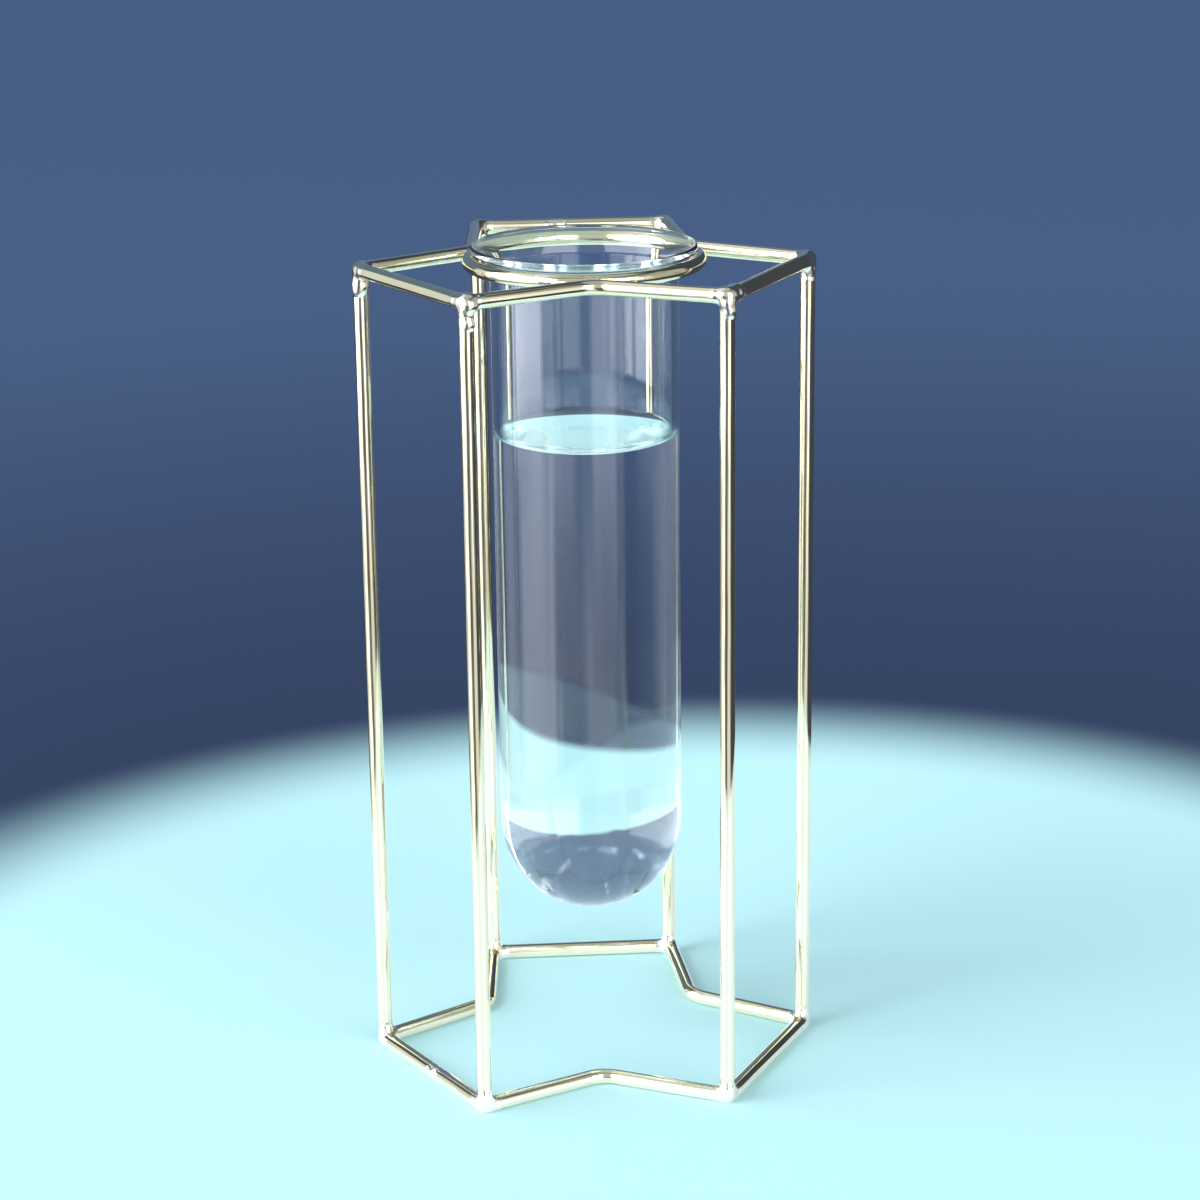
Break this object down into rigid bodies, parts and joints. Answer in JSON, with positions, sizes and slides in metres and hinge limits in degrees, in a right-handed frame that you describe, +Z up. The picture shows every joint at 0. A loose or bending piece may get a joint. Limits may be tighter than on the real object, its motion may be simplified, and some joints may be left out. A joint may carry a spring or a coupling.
{
  "type": "hydroponic glass vase",
  "caption": "Round-bottomed glass tube with a flared lip, hung in a ring inside a geometric stand of bent wire loops and upright posts, to grow a stem in water.",
  "frame": {"origin": "middle of the footprint, on the table that the bottom loop rests on", "axes": "+Z up along the glass tube, +X to the right and +Y to the back as the picture shows the vase, with one straight outer edge of the loops at the back"},
  "size_m": [0.0982, 0.0858, 0.1802],
  "materials": {
    "gold_wire": "polished",
    "weld_metal": "gloss",
    "clear_glass": "polished",
    "water": "gloss"
  },
  "bodies": {
    "stand": {"top_loop": "gold_wire", "bottom_loop": "gold_wire", "tube_ring": "gold_wire", "post_back_right": "gold_wire", "post_back_left": "gold_wire", "post_left": "gold_wire", "post_front_left": "gold_wire", "post_front_right": "gold_wire", "post_right": "gold_wire", "top_loop_butt_weld": "weld_metal", "bottom_loop_butt_weld": "weld_metal", "ring_butt_weld": "weld_metal", "post_back_right_top_weld": "weld_metal", "post_back_right_foot_weld": "weld_metal", "post_back_left_top_weld": "weld_metal", "post_back_left_foot_weld": "weld_metal", "post_left_top_weld": "weld_metal", "post_left_foot_weld": "weld_metal", "post_front_left_top_weld": "weld_metal", "post_front_left_foot_weld": "weld_metal", "post_front_right_top_weld": "weld_metal", "post_front_right_foot_weld": "weld_metal", "post_right_top_weld": "weld_metal", "post_right_foot_weld": "weld_metal", "ring_weld_back_left": "weld_metal", "ring_weld_front": "weld_metal", "ring_weld_back_right": "weld_metal"},
    "tube": {"glass_tube": "clear_glass", "water": "water"}
  },
  "joints": [
    {"name": "tube_lift", "type": "slide", "parent": "stand", "child": "tube", "axis": [0, 0, 1], "range_m": [0, 0.15]}
  ]
}
